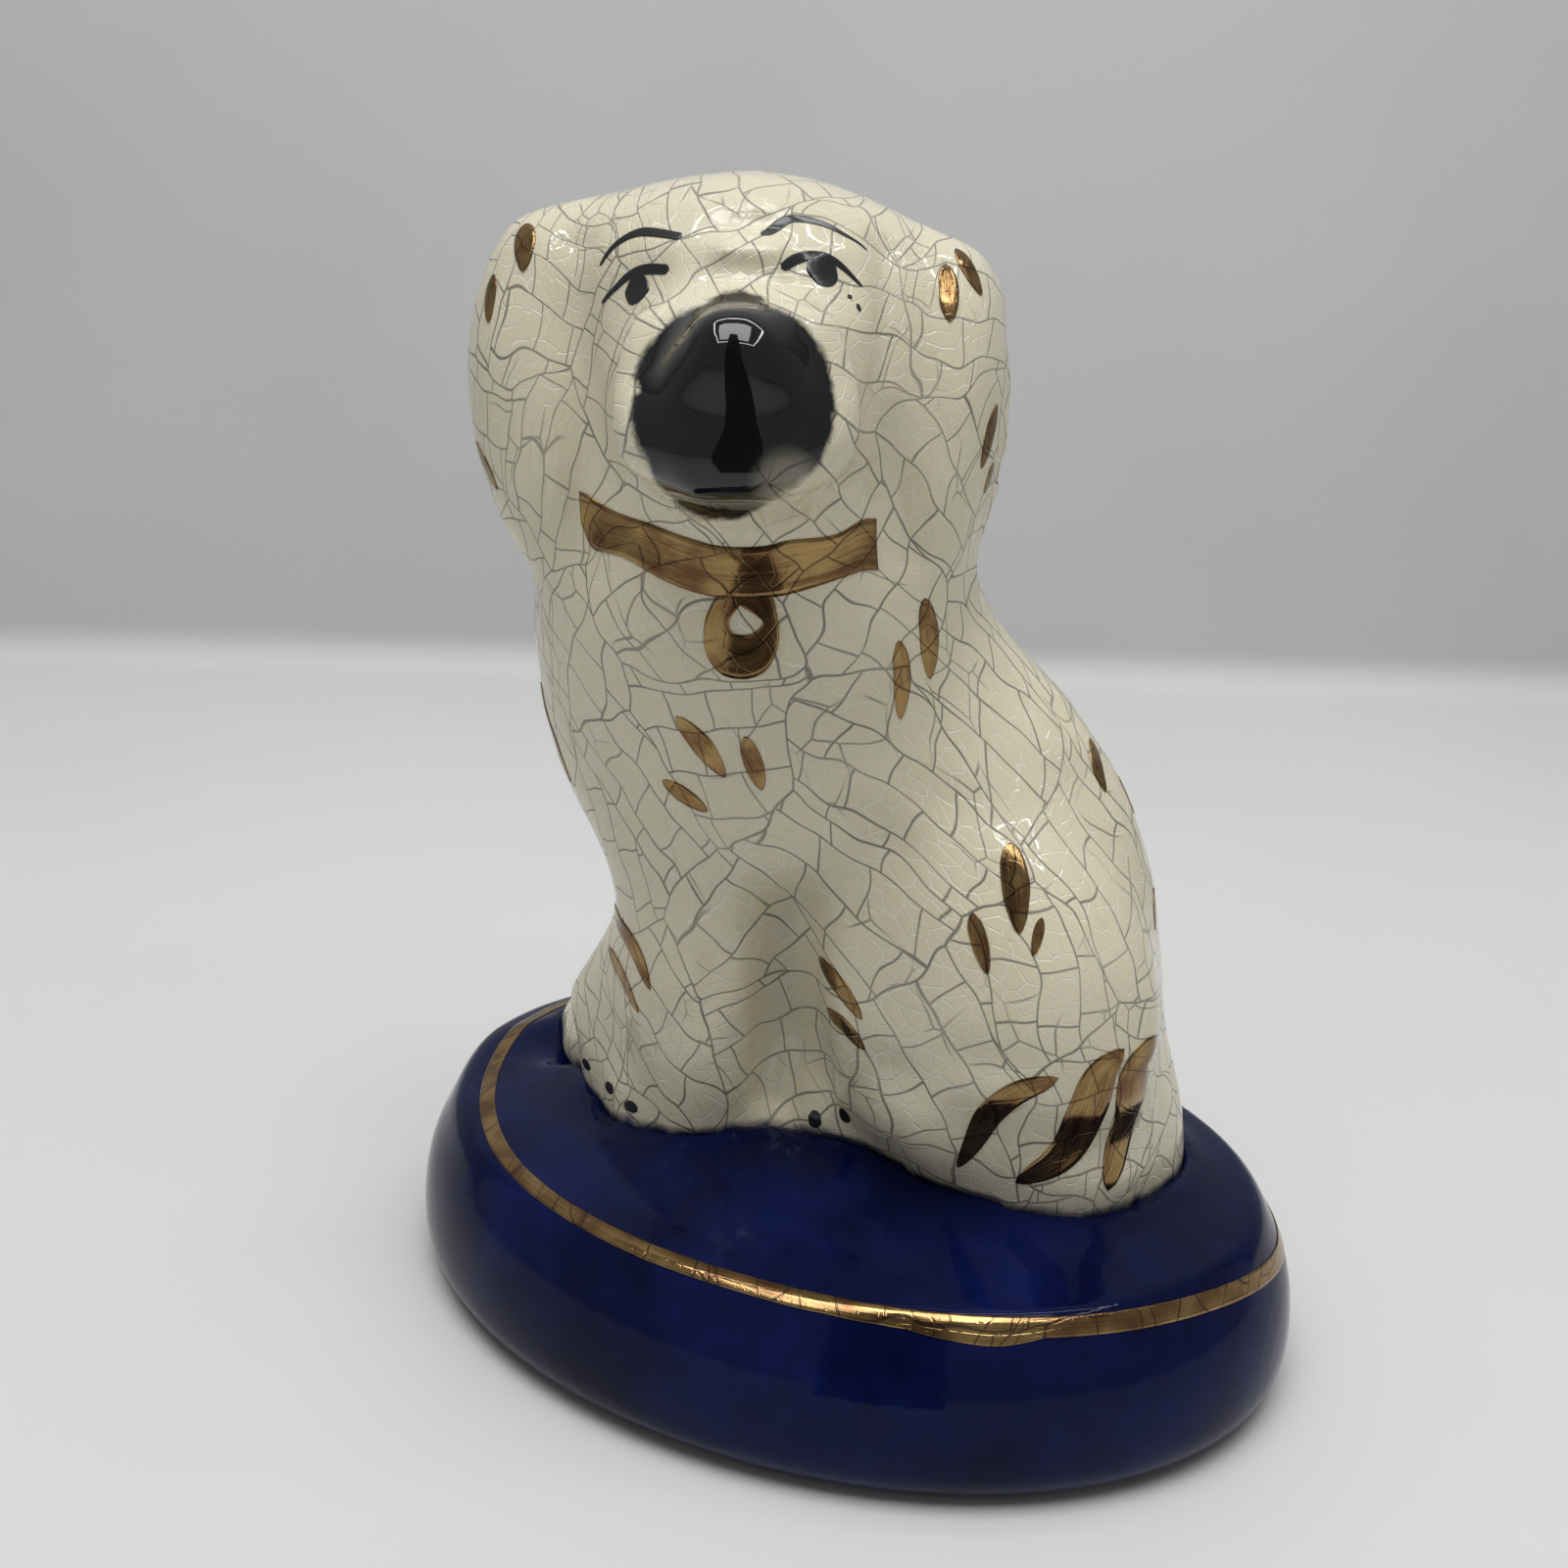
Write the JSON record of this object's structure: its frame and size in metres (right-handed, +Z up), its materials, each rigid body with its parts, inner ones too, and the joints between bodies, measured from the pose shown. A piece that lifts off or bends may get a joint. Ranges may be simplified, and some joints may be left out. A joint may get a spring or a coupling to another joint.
{
  "type": "ceramic dog figure",
  "caption": "Hollow glazed earthenware seated dog with a turned head, painted face, gilt collar and flecks, on an oval cushion base; a mantel ornament that rests on its foot rim",
  "frame": {"origin": "middle of the foot rim on the table plane", "axes": "+Z up; X along the long axis of the cushion with the dog's haunch towards +X; -Y is the display side"},
  "size_m": [0.109, 0.081, 0.1277],
  "materials": {
    "white_glaze": "glossy cream-white crackle glaze over earthenware",
    "blue_glaze": "deep cobalt-blue gloss glaze over earthenware",
    "biscuit": "unglazed matt earthenware",
    "black_enamel": "glossy black enamel brushed on and fired",
    "gilding": "brushed-on bright gold lustre, thin and mirror-like"
  },
  "bodies": {
    "root": {"front_body_half": "white_glaze", "back_body_half": "white_glaze", "cushion_base": "blue_glaze", "base_plate": "biscuit", "muzzle_enamel": "black_enamel", "eye_enamel": "black_enamel", "brow_enamel": "black_enamel", "claw_enamel": "black_enamel", "collar_gilding": "gilding", "locket_gilding": "gilding", "head_flecks": "gilding", "chest_flecks": "gilding", "shoulder_flecks": "gilding", "leg_flecks": "gilding", "haunch_flecks": "gilding", "back_flecks": "gilding", "tail_stripes": "gilding", "base_line_gilding": "gilding"}
  },
  "joints": []
}
